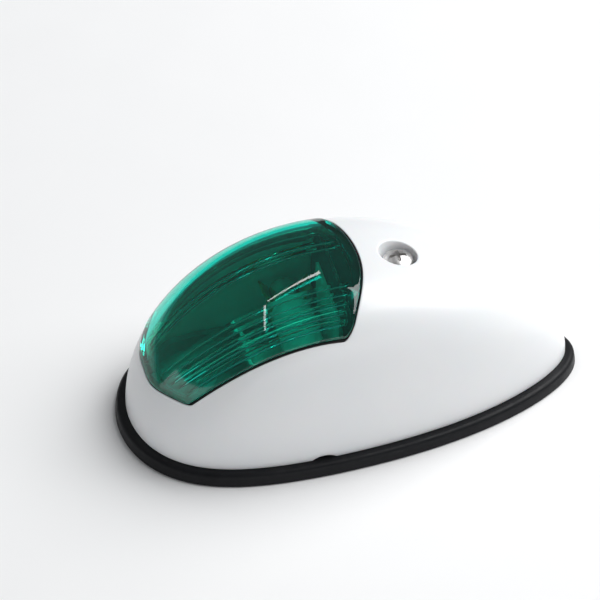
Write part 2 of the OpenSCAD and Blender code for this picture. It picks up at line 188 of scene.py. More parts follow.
def section_share(u, height):
    """Share s of the point of the section at this height above the rim."""
    u = np.clip(u, 2 * POLE, math.pi - 2 * POLE)
    c = np.minimum(height / crown(u), 0.6)
    return (1 - c ** cosines(POWER, u)) ** (1 / cosines(POWER, u))


def cover_at(along, across, d=0.0):
    """Points of the cover's surface from places on the map, moved out by d."""
    along, across = np.broadcast_arrays(np.asarray(along, float), np.asarray(across, float))
    side = np.sign(across)
    s_in = np.clip(across / LENS_HALF, -1, 1) * lens_side(along)
    u = station(along, s_in)
    m = cosines(POWER, u)
    c_edge = (1 - lens_side(along) ** m) ** (1 / m)
    c_low = (RIM_ROUND + notch(u, side)) / np.maximum(crown(u), 1e-6)
    c_low = np.minimum(c_low, 0.6)
    beyond = np.clip((np.abs(across) - LENS_HALF) / SIDE_L, 0, 1)
    c = c_edge + (c_low - c_edge) * beyond
    s_out = side * (1 - c ** m) ** (1 / m)
    return skin(u, np.where(beyond > 0, s_out, s_in), d)


# ---------------------------------------------------------------------------------------
# Mesh making

class Shape:
    """Points in millimetres and the faces between them."""

    def __init__(self):
        self.points = []
        self.faces = []

    def add(self, points):
        """Adds points and returns their numbers, in the same arrangement."""
        points = np.asarray(points, float)
        first = len(self.points)
        self.points.extend(points.reshape(-1, 3))
        return np.arange(first, len(self.points)).reshape(points.shape[:-1])

    def grid(self, points, skip=None):
        """Adds a grid of points and its cells, without the cells that skip marks."""
        at = self.add(points)
        for i in range(at.shape[0] - 1):
            for j in range(at.shape[1] - 1):
                if skip is None or not skip[i, j]:
                    self.faces.append([int(v) for v in (at[i, j], at[i, j + 1],
                                                        at[i + 1, j + 1], at[i + 1, j])])

    def rings(self, rings, cap_first=False, cap_last=False):
        """Adds closed rings with as many points each, joined one to the next."""
        closed = [np.concatenate([ring, ring[:1]]) for ring in rings]
        self.grid(np.stack(closed))
        for ring, wanted in ((rings[0], cap_first), (rings[-1], cap_last)):
            if wanted:
                self.faces.append([int(v) for v in self.add(ring)])

    def pierced(self, outline, holes, z):
        """Adds a flat face at height z with holes in it. Outlines are [x, y] loops."""
        loops = [outline, *holes]
        at = self.add([[x, y, z] for loop in loops for x, y in loop])
        flat = [[Vector((x, y, 0)) for x, y in loop] for loop in loops]
        for corners in tessellate_polygon(flat):
            self.faces.append([int(at[k]) for k in corners])

    def mesh(self, name):
        mesh = bpy.data.meshes.new(name)
        mesh.from_pydata([tuple(p) for p in np.array(self.points) * MM], [], self.faces)
        tidy_mesh(mesh)
        return mesh


def tidy_mesh(mesh, flat_angle=None):
    """Joins points that coincide, drops faces without area and turns normals outwards."""
    work = bmesh.new()
    work.from_mesh(mesh)
    bmesh.ops.remove_doubles(work, verts=work.verts, dist=2e-6)
    bmesh.ops.dissolve_degenerate(work, edges=work.edges, dist=1e-7)
    if flat_angle is not None:
        bmesh.ops.dissolve_limit(work, angle_limit=flat_angle, verts=work.verts,
                                 edges=work.edges)
    bmesh.ops.recalc_face_normals(work, faces=work.faces)
    work.to_mesh(mesh)
    work.free()


def spaced(*stops):
    """Numbers from stop to stop, given as start, then (end, count) pairs."""
    values = [stops[0]]
    for end, count in stops[1:]:
        values.extend(np.linspace(values[-1], end, count + 1)[1:])
    return np.array(values)


def mirrored(values):
    return np.concatenate([-values[:0:-1], values])


def circle(r, count, x=0.0, y=0.0):
    turn = np.arange(count) * 2 * math.pi / count
    return np.stack([x + r * np.cos(turn), y + r * np.sin(turn)], -1)


def at_height(loop, z):
    return np.column_stack([loop, np.full(len(loop), z)])


def turned(profile, count):
    """Rings of a turned shape from its [radius, height] profile."""
    return [at_height(circle(r, count), z) for r, z in profile]


def arc(centre, r, start, end, count):
    """Points on an arc, with its angles in degrees."""
    turn = np.radians(np.linspace(start, end, count + 1))
    return [[centre[0] + r * math.cos(t), centre[1] + r * math.sin(t)] for t in turn]


def piece_from(mesh, name, nodes, material, sharp=35):
    """Makes a piece that rides with the CAD nodes that it stands for."""
    piece = bpy.data.objects.new(name, mesh)
    bpy.context.scene.collection.objects.link(piece)
    mesh.materials.clear()
    mesh.materials.append(material)
    mesh.shade_smooth()
    mesh.set_sharp_from_angle(angle=math.radians(sharp))
    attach(piece, BODY_OF[nodes[0]])
    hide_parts(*nodes)
    return piece


def bevelled(node, name, material, width, segments=2):
    """A CAD node's shape with its hard edges rounded."""
    mesh = frame["nodes"][node].data.copy()
    mesh.name = name
    tidy_mesh(mesh, flat_angle=math.radians(0.5))
    piece = piece_from(mesh, name, [node], material, sharp=30)
    bevel = piece.modifiers.new("rounded edges", "BEVEL")
    bevel.width = width * MM
    bevel.segments = segments
    bevel.limit_method = "ANGLE"
    bevel.angle_limit = math.radians(40)
    bevel.harden_normals = True
    return piece


# ---------------------------------------------------------------------------------------
# Materials

class Finish:
    """A material under construction, with helpers for its nodes."""

    def __init__(self, name, **values):
        self.material = bpy.data.materials.new(name)
        self.material.use_nodes = True
        self.nodes = self.material.node_tree.nodes
        self.links = self.material.node_tree.links
        self.shader = self.nodes["Principled BSDF"]
        for key, value in values.items():
            self.shader.inputs[key.replace("_", " ")].default_value = value
        self.place = self.nodes.new("ShaderNodeTexCoord").outputs["Object"]

    def node(self, kind, inputs=None, **settings):
        made = self.nodes.new(kind)
        for key, value in settings.items():
            setattr(made, key, value)
        for key, value in (inputs or {}).items():
            if isinstance(value, bpy.types.NodeSocket):
                self.links.new(value, made.inputs[key])
            else:
                made.inputs[key].default_value = value
        return made

    def noise(self, size, detail=3.0, roughness=0.5, place=None, distortion=0.0):
        """Noise whose grains are about size millimetres across, from 0 to 1."""
        made = self.node("ShaderNodeTexNoise", {
            "Vector": place or self.place, "Scale": 1 / (size * MM), "Detail": detail,
            "Roughness": roughness, "Distortion": distortion})
        return made.outputs["Fac"]

    def spread(self, value, low, high, start=0.3, end=0.7):
        """Maps a value between start and end to one between low and high."""
        made = self.node("ShaderNodeMapRange", {
            "Value": value, "From Min": start, "From Max": end, "To Min": low, "To Max": high})
        return made.outputs["Result"]

    def blend(self, share, first, second):
        """Mixes two colours by a share."""
        made = self.node("ShaderNodeMix", data_type="RGBA")
        for index, value in ((0, share), (6, first), (7, second)):
            if isinstance(value, bpy.types.NodeSocket):
                self.links.new(value, made.inputs[index])
            else:
                made.inputs[index].default_value = value
        return made.outputs[2]

    def set(self, name, value):
        self.links.new(value, self.shader.inputs[name])

    def bump(self, height, depth, strength=1.0, below=None):
        """Bumps depth millimetres high, on top of the bumps below."""
        made = self.node("ShaderNodeBump", {
            "Height": height, "Distance": depth * MM, "Strength": strength})
        if below is not None:
            self.links.new(below, made.inputs["Normal"])
        return made.outputs["Normal"]

    def stretched(self, x, y, z):
        """Object coordinates scaled by x, y and z."""
        made = self.node("ShaderNodeMapping", {"Vector": self.place})
        made.inputs["Scale"].default_value = (x, y, z)
        return made.outputs["Vector"]


def rgb(r, g, b):
    return (r, g, b, 1.0)


def moulded_plastic(name, colour, shade, roughness, grain_depth, coat=0.0, ior=1.5):
    """Moulded plastic with slight colour drift, a fine grain and a few dull patches."""
    f = Finish(name, IOR=ior, Coat_Weight=coat, Coat_Roughness=0.06)
    drift = f.noise(14, detail=4)
    f.set("Base Color", f.blend(f.spread(drift, 0, 1), rgb(*colour), rgb(*shade)))
    dull = f.noise(4, detail=6, roughness=0.65)
    f.set("Roughness", f.spread(dull, roughness * 0.85, roughness * 1.2))
    waves = f.bump(f.noise(7, detail=1), grain_depth * 3)
    f.set("Normal", f.bump(f.noise(0.35, detail=4), grain_depth, below=waves))
    return f.material


def cover_white():
    f = Finish("gloss_white_abs", IOR=1.5, Coat_Weight=0.12, Coat_Roughness=0.12,
               Subsurface_Weight=0.06, Subsurface_Scale=0.0015)
    drift = f.noise(22, detail=3)
    f.set("Base Color", f.blend(f.spread(drift, 0, 1), rgb(0.80, 0.82, 0.835),
                                rgb(0.83, 0.84, 0.85)))
    haze = f.noise(3, detail=8, roughness=0.7)
    f.set("Roughness", f.spread(haze, 0.30, 0.38))
    waves = f.bump(f.noise(11, detail=1), 0.012)
    peel = f.bump(f.noise(0.9, detail=2), 0.0012, below=waves)
    scratch = f.noise(0.25, detail=2, place=f.stretched(0.08, 1.0, 1.0))
    fine = f.spread(scratch, 0.0, 1.0, start=0.68, end=0.72)
    f.set("Normal", f.bump(fine, -0.0006, below=peel))
    return f.material


def lens_green():
    f = Finish("green_lens", IOR=1.5, Transmission_Weight=0.985)
    flow = f.noise(16, detail=3, place=f.stretched(0.5, 1.0, 1.0))
    f.set("Base Color", f.blend(f.spread(flow, 0, 1), rgb(0.0, 0.80, 0.61),
                                rgb(0.0, 0.86, 0.66)))
    f.set("Roughness", f.spread(f.noise(5, detail=6), 0.0, 0.03))
    waves = f.bump(f.noise(9, detail=1), 0.010)
    f.set("Normal", f.bump(f.noise(0.8, detail=2), 0.0006, below=waves))
    return f.material


def soft_rubber(name, colour, shade, roughness=0.55):
    f = Finish(name, IOR=1.5, Specular_IOR_Level=0.16)
    bloom = f.noise(6, detail=7, roughness=0.7)
    f.set("Base Color", f.blend(f.spread(bloom, 0, 1), rgb(*colour), rgb(*shade)))
    f.set("Roughness", f.spread(f.noise(2.2, detail=6), roughness - 0.08, roughness + 0.1))
    grain = f.bump(f.noise(0.22, detail=5, roughness=0.6), 0.02)
    f.set("Normal", f.bump(f.noise(5, detail=2), 0.05, below=grain))
    return f.material


def metal(name, colour, stain, roughness, brush=(1.0, 1.0, 1.0)):
    """Metal with fine brush lines and slight tarnish."""
    f = Finish(name, Metallic=1.0)
    tarnish = f.noise(1.8, detail=6, roughness=0.7)
    f.set("Base Color", f.blend(f.spread(tarnish, 0, 1, start=0.45, end=0.75), rgb(*colour),
                                rgb(*stain)))
    lines = f.noise(0.14, detail=4, place=f.stretched(*brush))
    f.set("Roughness", f.spread(lines, roughness * 0.75, roughness * 1.4))
    f.set("Normal", f.bump(lines, 0.004))
    return f.material


def frosted_glass():
    f = Finish("frosted_glass", IOR=1.5, Transmission_Weight=0.3,
               Base_Color=rgb(0.95, 0.96, 0.96))
    f.set("Roughness", f.spread(f.noise(1.5, detail=6), 0.16, 0.24))
    f.set("Normal", f.bump(f.noise(3, detail=1), 0.01))
    return f.material


MATERIALS = {
    "gasket_rubber": soft_rubber("gasket_rubber", (0.006, 0.0065, 0.008), (0.010, 0.0105, 0.012),
                                 0.42),
    "grommet_rubber": soft_rubber("grommet_rubber", (0.012, 0.012, 0.013),
                                  (0.022, 0.022, 0.023), 0.6),
    "base_plastic": moulded_plastic("grey_abs", (0.30, 0.31, 0.32), (0.34, 0.35, 0.36),
                                    0.5, 0.012),
    "baffle_plastic": moulded_plastic("matt_black_abs", (0.014, 0.016, 0.018),
                                      (0.02, 0.021, 0.023), 0.6, 0.012),
    "reflector_white": moulded_plastic("reflector_white", (0.84, 0.85, 0.84),
                                       (0.78, 0.79, 0.77), 0.25, 0.004, coat=0.3),
    "brass": metal("turned_brass", (0.78, 0.57, 0.27), (0.45, 0.31, 0.14), 0.28),
    "spring_brass": metal("spring_brass", (0.72, 0.53, 0.24), (0.42, 0.28, 0.12), 0.3,
                          (0.15, 1.0, 1.0)),
    "nickel_plate": metal("nickel_plate", (0.74, 0.71, 0.66), (0.5, 0.46, 0.4), 0.2),
    "stainless": metal("stainless_steel", (0.72, 0.71, 0.70), (0.55, 0.54, 0.53), 0.32),
    "tungsten": metal("tungsten_wire", (0.35, 0.35, 0.37), (0.25, 0.25, 0.26), 0.35),
    "frosted_glass": frosted_glass(),
    "cover_white": cover_white(),
    "lens_green": lens_green(),
}

# ---------------------------------------------------------------------------------------
# Camera, lights and floor. The camera and the lights are given in millimetres.

CAMERA_AT = (-231.97, -891.5, 808.46)
CAMERA_AZIMUTH = -13.83
CAMERA_ELEVATION = 40.20
CAMERA_LENS = 289.35


def add_camera():
    camera = bpy.data.objects.new("camera", bpy.data.cameras.new("camera"))
    bpy.context.scene.collection.objects.link(camera)
    camera.data.sensor_width = 36
    camera.data.lens = CAMERA_LENS
    camera.data.clip_start = 0.05
    camera.data.clip_end = 20
    camera.location = Vector(CAMERA_AT) * MM
    camera.rotation_euler = (math.radians(90 - CAMERA_ELEVATION), 0,
                             math.radians(CAMERA_AZIMUTH))
    bpy.context.scene.camera = camera


def add_softbox(name, place, target, width, height, power):
    light = bpy.data.lights.new(name, "AREA")
    light.shape = "RECTANGLE"
    light.size = width * MM
    light.size_y = height * MM
    light.energy = power
    softbox = bpy.data.objects.new(name, light)
    bpy.context.scene.collection.objects.link(softbox)
    softbox.location = Vector(place) * MM
    aim = Vector(target) * MM - softbox.location
    softbox.rotation_euler = aim.to_track_quat("-Z", "Y").to_euler()


def add_strip(name, start, end):
    """A narrow strip light a metre away, between two directions from the lamp."""
    start, end = (Vector(way).normalized() * 1000 for way in (start, end))
    middle = (start + end) / 2
    light = bpy.data.lights.new(name, "AREA")
    light.shape = "RECTANGLE"
    light.size = (end - start).length * MM
    light.size_y = 16 * MM
    light.energy = 0.42 * light.size
    strip = bpy.data.objects.new(name, light)
    bpy.context.scene.collection.objects.link(strip)
    strip.location = middle * MM
    x_axis = (end - start).normalized()
    z_axis = middle.normalized()
    y_axis = z_axis.cross(x_axis).normalized()
    strip.rotation_euler = Matrix((x_axis, y_axis, x_axis.cross(y_axis))).transposed().to_euler()


def add_world():
    world = bpy.data.worlds.new("studio")
    bpy.context.scene.world = world
    world.use_nodes = True
    background = world.node_tree.nodes["Background"]
    background.inputs["Color"].default_value = (0.93, 0.96, 1.0, 1)
    background.inputs["Strength"].default_value = 0.17


def add_floor():
    size = 3.0
    mesh = bpy.data.meshes.new("floor")
    mesh.from_pydata([(-size, -size, 0), (size, -size, 0), (size, size, 0), (-size, size, 0)],
                     [], [(0, 1, 2, 3)])
    floor = bpy.data.objects.new("floor", mesh)
    bpy.context.scene.collection.objects.link(floor)
    f = Finish("pale_floor")
    f.set("Base Color", f.blend(f.spread(f.noise(300), 0, 1), rgb(0.88, 0.885, 0.89),
                                rgb(0.9, 0.9, 0.9)))
    f.set("Roughness", f.spread(f.noise(20, detail=5), 0.5, 0.6))
    mesh.materials.append(f.material)
    floor.location.z = -0.0002


def add_stage():
    add_camera()
    add_floor()
    add_world()
    add_softbox("key_softbox", (745, 130, 980), (0, 0, 20), 1200, 1000, 20.5)
    add_softbox("front_card", (100, -1350, 130), (0, 0, 30), 1500, 450, 4.0)
    add_softbox("bow_card", (-1300, -150, 130), (0, 0, 30), 1500, 450, 2.6)
    add_strip("back_strip", (0.06, 0.70, 0.71), (-0.31, 0.59, 0.75))
    add_strip("bow_strip", (-0.34, 0.55, 0.76), (-0.48, 0.02, 0.87))


# ---------------------------------------------------------------------------------------
# Cover

EDGE_ROUND = 0.2
MARGIN = 2.4
BOW_CORNER_R = 1.5
AFT_CORNER_R = 3.0
SCREW_LOW, SCREW_HIGH = box_mm("cover_screw")
SCREW_X = (SCREW_LOW[0] + SCREW_HIGH[0]) / 2
SCREW_HOLE_R = 2.25
RECESS_R = 4.85
RECESS_ROUND = 0.45
RECESS_FLOOR = box_mm("screw_oring")[0][2] - 0.02
TUBE_R = 4.6
TUBE_LOW = box_mm("threaded_insert")[1][2] + 0.3
BOSS_R = 7.0
BOSS_LOW = RECESS_FLOOR - 2.2
SCREW_BLOCK_AFT = 80.6
SCREW_BLOCK_HALF = 10.5


def border(along, across):
    """A loop of [along, across] pairs around a block of the map."""
    return np.array([(along[0], y) for y in across[:-1]]
                    + [(x, across[-1]) for x in along[:-1]]
                    + [(along[-1], y) for y in across[:0:-1]]
                    + [(x, across[0]) for x in along[:0:-1]])


def lens_outline(loop):
    """The points of the lens opening's outline nearest to a loop around it, and the
    outward normals there."""
    points, normals = [], []
    for along, across in loop:
        side = math.copysign(1, across)
        end = -1 if along < LENS_L / 2 else 1
        r = BOW_CORNER_R if end < 0 else AFT_CORNER_R
        centre = np.array([r if end < 0 else LENS_L - r, side * (LENS_HALF - r)])
        off = np.array([along, across]) - centre
        if off[0] * end > 0 and off[1] * side > 0:
            normal = off / np.linalg.norm(off)
            point = centre + r * normal
        elif off[1] * side > 0:
            normal = np.array([0, side])
            point = np.array([along, side * LENS_HALF])
        else:
            normal = np.array([end, 0])
            point = np.array([0 if end < 0 else LENS_L, across])
        points.append(point)
        normals.append(normal)
    return np.array(points), np.array(normals)


def map_loop(loop, d):
    return cover_at(loop[:, 0], loop[:, 1], d)


def between(first, second, share):
    return first + (second - first) * share


def opening_edge(shape, loop):
    """The cover's edge around the lens, from its outer surface to its inner one."""
    outline, out = lens_outline(loop)
    bend = [(EDGE_ROUND * (1 - math.sin(t)), -EDGE_ROUND * (1 - math.cos(t)))
            for t in np.radians([0, 30, 60, 90])]
    shape.rings([map_loop(loop, 0)]
                + [map_loop(between(loop, outline + out * EDGE_ROUND, t), 0) for t in (0.4, 0.8)]
                + [map_loop(outline + out * n, d) for n, d in bend]
                + [map_loop(outline, -WALL)]
                + [map_loop(between(outline, loop, t), -WALL) for t in (0.5, 1)])


def screw_well(shape, loop):
    """The recess for the screw's head, its hole and the tube under it."""
    outer = map_loop(loop, 0)
    inner = map_loop(loop, -WALL)
    turn = np.arctan2(outer[:, 1], outer[:, 0] - SCREW_X)
    spoke = np.stack([np.cos(turn), np.sin(turn)], -1)
    axis = np.array([SCREW_X, 0])

    def level(r, z):
        return at_height(axis + r * spoke, z)

    def under(r, d, drop):
        return over(axis + r * spoke, d) - np.array([0, 0, drop])

    mouth = RECESS_R + RECESS_ROUND
    bend = [(RECESS_R + RECESS_ROUND * (1 - math.sin(t)), RECESS_ROUND * (1 - math.cos(t)))
            for t in np.radians([0, 22, 45, 67, 90])]
    shape.rings([outer]
                + [over(between(outer[:, :2], axis + mouth * spoke, t), 0)
                   for t in (0.3, 0.6, 0.85)]
                + [under(r, 0, drop) for r, drop in bend]
                + [level(RECESS_R, RECESS_FLOOR + 0.3), level(RECESS_R - 0.1, RECESS_FLOOR + 0.08),
                   level(RECESS_R - 0.3, RECESS_FLOOR), level(SCREW_HOLE_R + 0.2, RECESS_FLOOR),
                   level(SCREW_HOLE_R, RECESS_FLOOR - 0.2), level(SCREW_HOLE_R, TUBE_LOW),
                   level(TUBE_R - 0.2, TUBE_LOW), level(TUBE_R, TUBE_LOW + 0.2),
                   level(TUBE_R, BOSS_LOW - 0.3), level(TUBE_R + 0.3, BOSS_LOW),
                   level(BOSS_R - 0.3, BOSS_LOW), level(BOSS_R, BOSS_LOW + 0.3)]
                + [under(BOSS_R, -WALL, 0)]
                + [over(between(axis + BOSS_R * spoke, inner[:, :2], 0.5), -WALL), inner])


def rim_strip(along, side):
    """Rows across the cover's rim on one side, from its outer face to its inner one."""
    s_edge = side * lens_side(along)
    u = station(along, s_edge)
    raised = notch(u, side)
    round_off = RIM_ROUND * (1 - math.sqrt(0.5))
    stops = [(RIM_ROUND, 0), (round_off, -round_off), (0, -RIM_ROUND),
             (0, RIM_ROUND - WALL), (round_off, round_off - WALL), (RIM_ROUND, -WALL)]
    return np.stack([skin(u, side * section_share(u, raised + h), d) for h, d in stops], 1)


def make_cover():
    shape = Shape()
    aft = LENS_L + MARGIN
    along = spaced(-BOW_L, (-MARGIN, 24), (46.5, 50), (56.7, 34), (aft, 8),
                   (SCREW_BLOCK_AFT, 16), (LENS_L + TAIL_L, 62))
    across = mirrored(spaced(0, (SCREW_BLOCK_HALF, 11), (LENS_HALF + MARGIN, 18),
                             (LENS_HALF + SIDE_L, 32)))
    x = (along[1:] + along[:-1])[:, None] / 2
    y = np.abs(across[1:] + across[:-1])[None, :] / 2
    in_lens = (x > -MARGIN) & (x < aft) & (y < LENS_HALF + MARGIN)
    in_well = (x > aft) & (x < SCREW_BLOCK_AFT) & (y < SCREW_BLOCK_HALF)
    for d in (0, -WALL):
        shape.grid(cover_at(along[:, None], across[None, :], d), in_lens | in_well)

    def inside(values, low, high):
        return values[(values > low - 1e-9) & (values < high + 1e-9)]

    lens_half = LENS_HALF + MARGIN
    opening_edge(shape, border(inside(along, -MARGIN, aft),
                               inside(across, -lens_half, lens_half)))
    screw_well(shape, border(inside(along, aft, SCREW_BLOCK_AFT),
                             inside(across, -SCREW_BLOCK_HALF, SCREW_BLOCK_HALF)))
    for side in (-1, 1):
        shape.grid(rim_strip(along, side))
    piece_from(shape.mesh("cover_moulding"), "cover_moulding", ["cover_shell"],
               MATERIALS["cover_white"], sharp=50)


# ---------------------------------------------------------------------------------------
# Lens

LENS_PROUD = 0.33
LENS_GAP = 0.42
LENS_ROUND = 0.5
WINDOW_LOW = -2.1
FLANGE_TOP = -2.7
FLANGE_LOW = -3.9
FLANGE_OUT = 2.0
WINDOW_MARGIN = 2.4
RIB_PLACES = (-21.7, -19.3, -16.7, -13.7, -10.6, 5.4, 8.0)
RIB_START = 5.0
RIB_END = LENS_L - 3.6
RIB_HALF_W = 0.7
RIB_H = 0.62


def rib_depth(along, across):
    """How far the lengthwise ribs stand in from the lens's inner surface."""
    off = np.min([np.abs(across - place) for place in RIB_PLACES], axis=0)
    share = np.clip(1 - (off / RIB_HALF_W) ** 2, 0, 1)
    fade = np.clip((along - RIB_START) / 8, 0, 1) * np.clip((RIB_END - along) / 0.8, 0, 1)
    return RIB_H * np.sqrt(share) * np.sqrt(fade)


def make_lens():
    shape = Shape()
    along = spaced(-MARGIN, (LENS_L + MARGIN, 76))
    half = LENS_HALF + MARGIN
    across = mirrored(spaced(0, (half, 130)))
    loop = border(along, across)
    outline, out = lens_outline(loop)

    def block(margin):
        """The same block drawn in to a margin inside the lens's edge."""
        rows = np.interp(along, [along[0], along[-1]], [margin, LENS_L - margin])
        return rows, across * (LENS_HALF - margin) / half

    face_rows, face_cols = block(3.4)
    shape.grid(cover_at(face_rows[:, None], face_cols[None, :], LENS_PROUD))
    window_rows, window_cols = block(WINDOW_MARGIN)
    ribs = rib_depth(window_rows[:, None], window_cols[None, :])
    shape.grid(cover_at(window_rows[:, None], window_cols[None, :], WINDOW_LOW - ribs))
    face_edge = border(face_rows, face_cols)
    window_edge = border(window_rows, window_cols)
    rounded = outline - out * (LENS_GAP + LENS_ROUND)
    bend = [(-LENS_GAP - LENS_ROUND * (1 - math.sin(t)),
             LENS_PROUD - LENS_ROUND * (1 - math.cos(t)))
            for t in np.radians([0, 22, 45, 67, 90])]
    shape.rings([map_loop(between(face_edge, rounded, t), LENS_PROUD) for t in (0, 0.5)]
                + [map_loop(outline + out * n, d) for n, d in bend]
                + [map_loop(outline - out * LENS_GAP, FLANGE_TOP),
                   map_loop(outline + out * FLANGE_OUT, FLANGE_TOP),
                   map_loop(outline + out * FLANGE_OUT, FLANGE_LOW),
                   map_loop(window_edge, FLANGE_LOW),
                   map_loop(window_edge, WINDOW_LOW)])
    piece_from(shape.mesh("lens_moulding"), "lens_moulding", ["lens"],
               MATERIALS["lens_green"], sharp=50)


SEAL_TOP = -2.1
SEAL_LOW = -2.6
SEAL_OUT = 2.2
LIP_GAP = 0.04


def make_lens_seal_and_shade_lip():
    """The flat seal under the cover, with a dark lip that fills the gap around the lens. The lip
    is partly seal and partly painted shade: it draws the dark outline that the shadow in the gap
    gives, and the CAD seal has no lip.
    """
    half = LENS_HALF + MARGIN
    loop = border(spaced(-MARGIN, (LENS_L + MARGIN, 76)), mirrored(spaced(0, (half, 40))))
    outline, out = lens_outline(loop)
    inner = LIP_GAP - LENS_GAP
    # The lip rows, up to just under the surface, put dark rubber in the gap between lens and cover
    # as painted shade for the gap's shadow line.
    profile = [(inner, SEAL_LOW), (inner, -0.25), (inner + 0.1, -0.08), (-0.2, -0.04),
               (-LIP_GAP, -0.16), (-LIP_GAP, SEAL_TOP), (SEAL_OUT, SEAL_TOP),
               (SEAL_OUT, SEAL_LOW), (inner, SEAL_LOW)]
    shape = Shape()
    shape.rings([map_loop(outline + out * n, d) for n, d in profile])
    piece_from(shape.mesh("lens_seal_and_shade_lip"), "lens_seal_and_shade_lip", ["lens_seal"],
               MATERIALS["gasket_rubber"])


# ---------------------------------------------------------------------------------------
# Gasket

GASKET_TOP = RIM_Z - 0.05
GASKET_OUT = 2.69
GASKET_IN = 3.2
BASE_LOW = box_mm("base_plate")[0][2]
BOW_HOLE_X = -46.0
AFT_HOLE_X = 42.0
GROMMET_LOW, GROMMET_HIGH = box_mm("cable_grommet")
CABLE_X = (GROMMET_LOW[0] + GROMMET_HIGH[0]) / 2


def rim_loop(d, count=120):
    """The rim's outline moved out by d, as a loop of [x, y] points."""
    u = np.linspace(0, math.pi, count + 1)
    near = skin(u, -1.0, d)[:-1, :2]
    far = skin(u, 1.0, d)[:0:-1, :2]
    return np.concatenate([near, far])


def make_gasket():
    shape = Shape()
    side = [(GASKET_OUT - 0.12, 0), (GASKET_OUT, 0.12), (GASKET_OUT - 0.05, 0.9),
            (GASKET_OUT - 0.2, 1.8)]
    shoulder = [(GASKET_OUT - 1.55 + 1.3 * math.cos(t), GASKET_TOP - 1.25 + 1.25 * math.sin(t))
                for t in np.radians(np.linspace(10, 90, 9))]
    top = [(-0.3, GASKET_TOP), (-GASKET_IN + 0.1, GASKET_TOP), (-GASKET_IN, GASKET_TOP - 0.1),
           (-GASKET_IN, BASE_LOW)]
    shape.rings([at_height(rim_loop(d), z) for d, z in side + shoulder + top])
    holes = [circle(3.05, 48, BOW_HOLE_X), circle(3.05, 48, AFT_HOLE_X),
             circle(6.5, 64, CABLE_X)]
    shape.pierced(rim_loop(side[0][0]), holes, 0.0)
    shape.pierced(rim_loop(-GASKET_IN), holes, BASE_LOW)
    for hole in holes:
        shape.rings([at_height(hole, 0.0), at_height(hole, BASE_LOW)])
    piece_from(shape.mesh("gasket_moulding"), "gasket_moulding", ["base_gasket"],
               MATERIALS["gasket_rubber"], sharp=40)


# ---------------------------------------------------------------------------------------
# Screw, washer and sealing ring

THREAD_PITCH = 0.7
THREAD_DEPTH = 0.3


def helix_shank(r, low, high, count=36):
    """Rings of a threaded shank with a run-out at its top and a chamfer at its tip."""
    rings_per_mm = 10
    heights = np.linspace(low, high, int((high - low) * rings_per_mm) + 1)
    turn = np.arange(count) * 2 * math.pi / count
    rings = []
    for z in heights:
        phase = (z / THREAD_PITCH - turn / (2 * math.pi)) % 1
        groove = np.clip(1 - np.abs(phase - 0.5) / 0.32, 0, 1)
        ease = min(1, (high - z) / 1.5)
        tip = np.clip((z - low) / 0.9, 0, 1)
        radius = (r - THREAD_DEPTH * groove * ease) * (0.62 + 0.38 * tip)
        rings.append(np.column_stack([radius * np.cos(turn), radius * np.sin(turn),
                                      np.full(count, z)]))
    return rings


def cross_cutter(top, depth):
    """A tapered cross that cuts the driver's recess."""
    shape = Shape()

    def plus(reach, half, z):
        loop = []
        for quarter in range(4):
            c = math.cos(quarter * math.pi / 2)
            s = math.sin(quarter * math.pi / 2)
            loop.extend([SCREW_X + c * x - s * y, s * x + c * y]
                        for x, y in [(reach, -half), (reach, half), (half, half)])
        return at_height(np.array(loop), z)

    shape.rings([plus(2.25, 0.5, top + 0.2), plus(2.05, 0.42, top - 0.4 * depth),
                 plus(1.1, 0.34, top - depth)], True, True)
    return shape.mesh("cross_cutter")


def cut(mesh, cutter_mesh):
    """The mesh with the cutter's shape taken out of it."""
    body = bpy.data.objects.new("cut_body", mesh)
    cutter = bpy.data.objects.new("cutter", cutter_mesh)
    for item in (body, cutter):
        bpy.context.scene.collection.objects.link(item)
    boolean = body.modifiers.new("recess", "BOOLEAN")
    boolean.operation = "DIFFERENCE"
    boolean.object = cutter
    boolean.solver = "EXACT"
    bpy.context.view_layer.update()
    graph = bpy.context.evaluated_depsgraph_get()
    result = bpy.data.meshes.new_from_object(body.evaluated_get(graph))
    for item in (body, cutter):
        bpy.data.objects.remove(item)
    return result


def moved_rings(rings, x):
    return [ring + np.array([x, 0, 0]) for ring in rings]


def make_screw():
    head_r = 3.8
    head_z = box_mm("screw_washer")[1][2] + 0.02
    top = SCREW_HIGH[2]
    head_h = top - head_z
    rim_h = 0.9
    dome_r = (head_r ** 2 + (head_h - rim_h) ** 2) / (2 * (head_h - rim_h))
    dome = [(dome_r * math.sin(t), top - dome_r + dome_r * math.cos(t))
            for t in np.linspace(math.asin((head_r - 0.12) / dome_r), 0.02, 12)]
    profile = [(1.9, head_z), (head_r - 0.12, head_z), (head_r, head_z + 0.12),
               (head_r, head_z + rim_h - 0.1)] + dome
    shape = Shape()
    shank = helix_shank(1.95, SCREW_LOW[2], head_z)
    shape.rings(moved_rings(shank, SCREW_X), cap_first=True)
    rings = [at_height(circle(r, 96), z) for r, z in profile]
    head = Shape()
    head.rings(moved_rings(rings, SCREW_X), True, True)
    head_mesh = cut(head.mesh("screw_head"), cross_cutter(top, 1.6))
    work = bmesh.new()
    work.from_mesh(head_mesh)
    work.from_mesh(shape.mesh("screw_shank"))
    mesh = bpy.data.meshes.new("screw_steel")
    work.to_mesh(mesh)
    work.free()
    piece_from(mesh, "screw_steel", ["cover_screw"], MATERIALS["stainless"],
               sharp=32)


def make_washer():
    low, high = box_mm("screw_washer")
    r = (high[0] - low[0]) / 2 - 0.01
    hole = 2.15
    z0 = low[2]
    z1 = high[2]
    e = 0.12
    profile = [(hole, z0 + e), (hole + e, z0), (r - e, z0), (r, z0 + e), (r, z1 - e),
               (r - e, z1), (hole + e, z1), (hole, z1 - e), (hole, z0 + e)]
    shape = Shape()
    shape.rings(moved_rings(turned(profile, 72), SCREW_X))
    piece_from(shape.mesh("washer_steel"), "washer_steel", ["screw_washer"],
               MATERIALS["stainless"])


